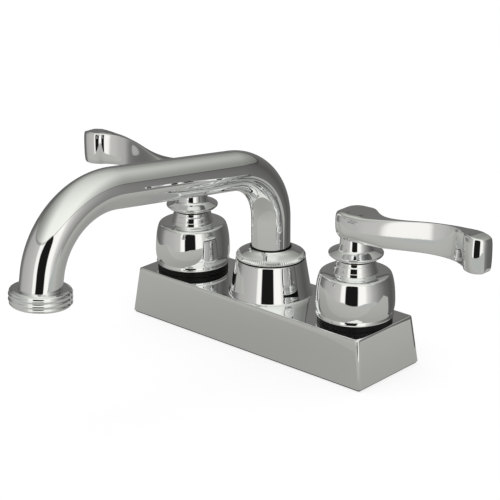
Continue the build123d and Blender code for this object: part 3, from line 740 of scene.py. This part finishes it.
# %% Bells
bell_skirt = [
    (17.5, 28.0), (17.85, 29.3), (18.1, 31.5), (18.08, 34.5), (17.9, 37.5), (17.6, 40.3), (17.15, 42.7),
    (16.65, 44.5), (16.3, 45.35), (15.8, 45.85), (15.0, 46.1), (12.8, 46.3), (10.6, 46.35),
]
bell_foot = [(17.3, 26.0), (17.75, 26.2), (17.9, 26.8), (17.65, 27.3)]
ring_tops = ((47.9, 9.9), (50.4, 9.3), (52.2, 8.7))
ring_spreads = (0.3, 0.5, 0.55)
down = np.linspace(1, 0, 8)[:, None]
neck_rings = []
foot_height = bell_skirt[-1][1]
for (top, radius), spread in zip(ring_tops, ring_spreads):
    neck_rings.append(np.hstack([radius + spread * down**2, top - (top - foot_height) * down]))
    foot_height = top
bell_inside = [(7.0, 52.2), (7.0, 44.6), (11.0, 44.2), (14.2, 43.0), (16.0, 39.0), (16.5, 32.0), (15.8, 26.0)]
bell_profile = softened(
    np.vstack([bell_foot, smooth_curve(bell_skirt, 90), *neck_rings, bell_inside]), 0.22, 230
)
gasket_profile = softened([(17.2, 23.2), (17.2, 26.0), (14.6, 26.0), (14.6, 23.2)], 0.5, 40)
for side, x in (("left", -half_centres), ("right", half_centres)):
    bell = surface(f"{side}_chrome_bell", turned(bell_profile, x, 192), sharp_angle=60)
    dress(bell, chrome, "base", "chrome", f"{side}_bell")
    gasket = surface(f"{side}_rubber_ring", turned(gasket_profile, x, 128))
    dress(gasket, rubber, "base", "black_rubber", f"{side}_bell_gasket")

# %% [markdown]
# The spout nut is a shallow dome with a fine knurl round its edge to grip it by. The knurl is part of the
# surface: inside the band the radius dips by a triangle wave, 96 times round.

# %% Spout nut
nut_corners = [
    (13.3, 43.2), (13.3, 35.5), (14.4, 35.5), (14.4, 41.05), (16.4, 41.05), (16.4, 41.9), (15.7, 42.8), (14.4, 43.5),
    (12.8, 44.1), (11.3, 44.7), (10.4, 45.3), (9.85, 45.9), (9.6, 46.5), (9.45, 46.5), (9.45, 43.2),
]
nut_radius = 16.4
knurl_count = 96
knurl_depth = 0.42
knurl_inner_radius = 14.9
knurl_fade = 0.3
nut_columns = knurl_count * 8
nut_profile = softened(nut_corners, 0.16, 120)
nut_grid = turned(nut_profile, 0, nut_columns)
part_turn = np.linspace(0, 1, nut_columns, endpoint=False)
wave = np.abs((part_turn * knurl_count + 0.5) % 1 - 0.5) * 2
in_band = np.clip((nut_profile[:, 0] - knurl_inner_radius) / knurl_fade, 0, 1)[:, None]
shrink = 1 - in_band * wave * knurl_depth / nut_radius
nut_grid[:, :, :2] *= shrink[:, :, None]
nut = surface("chrome_spout_nut", nut_grid, sharp_angle=60)
dress(nut, nut_chrome_painted_shade, "base", "chrome", "spout_nut")

# %% [markdown]
# The spout is one bent tube. Its path is a riser, a bend, a rising arm, a second bend and a short tail. A
# circle is carried along that path at the outside radius, and back again inside, so the wall is real and both
# ends are closed rings.

# %% Spout tube
swing = np.radians(5.4)
outwards = np.array([-np.sin(swing), -np.cos(swing), 0])
upwards = np.array([0, 0, 1.0])
sideways = np.cross(outwards, upwards)
tube_radius = 9.19
tube_bore = 8.0
runs = [("line", 40.05), ("bend", 27.74, 84), ("line", 66.63), ("bend", 35.48, 86), ("line", 9.6)]
riser_foot = 20.2


def bent_path(runs, start_height):
    """Centre line in its own plane: (reach, height, heading), heading being the angle above level."""
    reach, height, heading = 0.0, start_height, np.pi / 2
    path = []
    for kind, *sizes in runs:
        if kind == "line":
            along = np.linspace(0, sizes[0], max(3, int(sizes[0] / 4)))
            path.append(np.stack([
                reach + along * np.cos(heading), height + along * np.sin(heading), np.full(len(along), heading)
            ], -1))
        else:
            radius, angle = sizes
            turn = np.radians(np.linspace(0, angle, angle // 2 + 1))
            centre = (reach + radius * np.sin(heading), height - radius * np.cos(heading))
            facing = heading - turn
            path.append(np.stack([
                centre[0] - radius * np.sin(facing), centre[1] + radius * np.cos(facing), facing
            ], -1))
        reach, height, heading = path[-1][-1]
        path[-1] = path[-1][:-1]
    return np.vstack(path + [[(reach, height, heading)]])


path = bent_path(runs, riser_foot)


def tube_grid(path, radius, columns=128):
    """Circle of the given radius, square to the path at each of its points."""
    angle = np.linspace(0, 2 * np.pi, columns, endpoint=False)
    centre = path[:, 0, None] * outwards + path[:, 1, None] * upwards
    across = -np.sin(path[:, 2])[:, None] * outwards + np.cos(path[:, 2])[:, None] * upwards
    ring = across[:, None] * np.cos(angle)[:, None] + sideways * np.sin(angle)[:, None]
    return centre[:, None] + radius * ring


tube = surface(
    "chrome_spout_tube", np.vstack([tube_grid(path, tube_radius), tube_grid(path[::-1], tube_bore)]), sharp_angle=40
)
dress(tube, chrome, "spout", "chrome", "spout_tube")
outlet = path[-1]
print("spout ends", np.round(outlet[:2], 1), "mm out and up")

# %% [markdown]
# The collar at the outlet carries the garden-hose thread. As in the photo, it is a little shorter than the CAD
# solid and hangs straighter than the tube's end.
# A thread is one ridge wound round: the radius rises and falls as a cosine of the distance along the axis less
# one pitch per turn. It fades in and out at its ends.

# %% Hose collar
socket_depth = 4.2
collar_straighter = 6.0
collar_columns = 180
thread_pitch = 2.21
thread_depth = 0.5
thread_from, thread_to, thread_fade = 0.9, 6.6, 0.6
thread_inner_radius = 12.0
collar_corners = [
    (9.26, 0), (11.8, 0), (12.8, 0.4), (13.35, 1.2), (13.49, 2.0), (13.49, 6.0), (12.5, 7.1), (8.0, 7.1), (8.0, 5.0),
    (9.26, 5.0),
]
reach, height, heading = outlet


def pointing(heading):
    """Unit vector in the spout's plane at an angle above level."""
    return np.cos(heading) * outwards + np.sin(heading) * upwards


collar_heading = heading - np.radians(collar_straighter)
collar_axis = pointing(collar_heading)
collar_across = pointing(collar_heading + np.pi / 2)
collar_start = reach * outwards + height * upwards - pointing(heading) * socket_depth
collar_profile = softened(collar_corners, 0.3, 260)
part_turn = np.linspace(0, 1, collar_columns, endpoint=False)
angle = part_turn * 2 * np.pi
radius, along = collar_profile[:, :1], collar_profile[:, 1:]
ridge = 0.5 + 0.5 * np.cos(2 * np.pi * (along / thread_pitch - part_turn))
fade_in = np.clip((along - thread_from) / thread_fade, 0, 1)
fade_out = np.clip((thread_to - along) / thread_fade, 0, 1)
window = fade_in * fade_out * (radius > thread_inner_radius)
cut_radius = radius - thread_depth * window * (1 - ridge)
collar_ring = np.cos(angle)[:, None] * collar_across + np.sin(angle)[:, None] * sideways
collar_grid = collar_start + along[..., None] * collar_axis + cut_radius[..., None] * collar_ring
collar = surface("chrome_hose_collar", collar_grid, sharp_angle=60)
dress(collar, chrome, "spout", "chrome", "hose_collar")

# %% [markdown]
# The lever handles are castings with no straight line in them. Each is a row of upright sections from the back
# of the hub to the tip of the nose. Every section is a squared oval between a front and a back face and a
# lower and an upper edge, and each of those four is a smooth curve through the stations. The left handle is
# the mirror image of the right one. The neck under each hub spreads into a saucer, which is a turned piece.

# %% Lever handles
# Out from the axis, front, back, lower and upper edge, powers of the upper and lower corners, power of the sides
lever_stations = np.array([
    (-9.1, -2.1, 1.6, 67.6, 71.6, 0.5, 0.75, 0.8), (-8.6, -4.0, 3.6, 65.4, 73.1, 0.35, 0.8, 0.75),
    (-7.5, -5.9, 5.5, 63.6, 74.2, 0.25, 0.85, 0.7), (-5.8, -7.5, 7.1, 62.1, 74.7, 0.2, 0.85, 0.65),
    (-3.2, -8.7, 8.4, 61.3, 75.0, 0.18, 0.85, 0.65), (0.3, -9.2, 9.0, 61.1, 75.0, 0.17, 0.8, 0.65),
    (4.0, -9.1, 8.8, 61.5, 75.1, 0.17, 0.75, 0.7), (8.0, -8.8, 6.2, 61.9, 75.1, 0.18, 0.62, 0.75),
    (12.0, -8.05, 3.0, 62.3, 75.4, 0.18, 0.5, 0.8), (17.0, -6.8, 0.2, 62.6, 75.9, 0.18, 0.42, 0.85),
    (28.5, -3.25, -0.3, 63.4, 77.0, 0.18, 0.38, 0.9), (40.0, 0.3, 2.3, 63.7, 78.0, 0.18, 0.35, 0.95),
    (46.5, 1.5, 3.7, 63.5, 78.3, 0.18, 0.33, 0.97), (51.0, 1.25, 4.6, 63.3, 78.5, 0.18, 0.3, 1.0),
    (53.0, 0.65, 4.7, 63.3, 78.65, 0.17, 0.28, 1.0), (55.0, -0.3, 4.7, 63.3, 78.8, 0.16, 0.26, 1.0),
    (57.0, -1.4, 4.6, 63.3, 79.0, 0.15, 0.23, 1.0), (58.5, -2.35, 4.5, 63.3, 79.2, 0.14, 0.2, 1.0),
    (59.4, -3.1, 4.4, 63.3, 79.3, 0.14, 0.18, 1.0), (60.2, -4.2, 4.3, 63.3, 79.4, 0.13, 0.16, 1.0),
    (61.0, -5.1, 4.2, 63.35, 79.5, 0.13, 0.15, 1.0), (62.0, -5.85, 4.1, 63.4, 79.6, 0.12, 0.14, 1.0),
    (63.5, -6.5, 3.9, 63.4, 79.65, 0.12, 0.13, 1.0), (65.0, -7.0, 3.7, 63.4, 79.7, 0.12, 0.13, 1.0),
    (66.6, -7.1, 3.3, 63.5, 79.55, 0.12, 0.13, 1.0), (68.0, -6.65, 2.9, 63.5, 79.4, 0.12, 0.13, 1.0),
    (69.2, -6.0, 2.5, 63.6, 79.2, 0.13, 0.14, 1.0), (70.2, -5.2, 2.1, 63.7, 78.9, 0.15, 0.15, 1.0),
    (70.8, -4.4, 1.8, 64.2, 78.5, 0.2, 0.2, 1.0), (71.1, -3.5, 1.5, 65.0, 77.8, 0.25, 0.25, 1.0),
    (71.25, -2.4, 1.0, 66.2, 76.7, 0.3, 0.3, 1.0), (71.3, -1.2, 0.4, 67.8, 75.2, 0.35, 0.35, 1.0),
])
lever_rows, lever_columns = 260, 160


def lever_grid(stations, rows, columns):
    """Squared oval |y|^m + |z|^n = 1 scaled into each station's rectangle, stations joined by a smooth curve.

    A small power of the cosine squares the corners, and the power of the sine bulges the upright faces.
    """
    line = smooth_curve(stations, rows)
    angle = np.linspace(0, 2 * np.pi, columns, endpoint=False)
    x, front, back, low, high, upper_power, lower_power, bulge = (line[:, k, None] for k in range(8))
    power = np.where(np.sin(angle) > 0, upper_power, lower_power)
    across = np.sign(np.cos(angle)) * np.abs(np.cos(angle)) ** power
    along = np.sign(np.sin(angle)) * np.abs(np.sin(angle)) ** bulge
    y = (front + back) / 2 + across * (back - front) / 2
    z = (low + high) / 2 + along * (high - low) / 2
    return np.stack([x + 0 * y, y, z], -1)


lever = lever_grid(lever_stations, lever_rows, lever_columns)
lever_ends = [lever[0].mean(axis=0), lever[-1].mean(axis=0)]
saucer_curve = smooth_curve([
    (12.4, 55.55), (11.4, 55.85), (10.5, 56.15), (9.3, 56.6), (8.6, 56.95), (8.05, 57.5), (7.65, 58.5), (7.4, 60.2),
    (7.25, 62.5), (7.25, 64.5),
], 70)
saucer_profile = softened(np.vstack([
    [(9.6, 53.0), (11.5, 53.9), (12.35, 54.6), (12.5, 55.2)], saucer_curve, [(4.0, 64.5), (4.0, 53.0)]
]), 0.2, 140)
for side, sign in (("left", -1), ("right", 1)):
    flip = np.array([sign, 1, 1])
    shift = np.array([sign * half_centres, 0, 0])
    ends = [end * flip + shift for end in lever_ends]
    blade = surface(f"{side}_chrome_lever", lever * flip + shift, poles=ends, sharp_angle=70)
    dress(blade, chrome, f"{side}_lever", "chrome", f"{side}_handle")
    neck = surface(f"{side}_chrome_saucer", turned(saucer_profile, sign * half_centres, 160), sharp_angle=60)
    dress(neck, chrome, f"{side}_lever", "chrome", f"{side}_handle")

# %% [markdown]
# The inner pieces keep their CAD shapes and take the finish that the record names for them.

# %% Inner pieces
finish_of = {
    "chrome": chrome, "raw_brass": brass, "black_rubber": rubber, "white_nylon": nylon, "ceramic": ceramic,
    "steel": zinc, "grey_plastic": plastic,
}
for entry in frame["record"]["subparts"]:
    node = frame["nodes"][entry["node"]]
    for slot in node.material_slots:
        slot.material = finish_of[entry["material_slot"]]
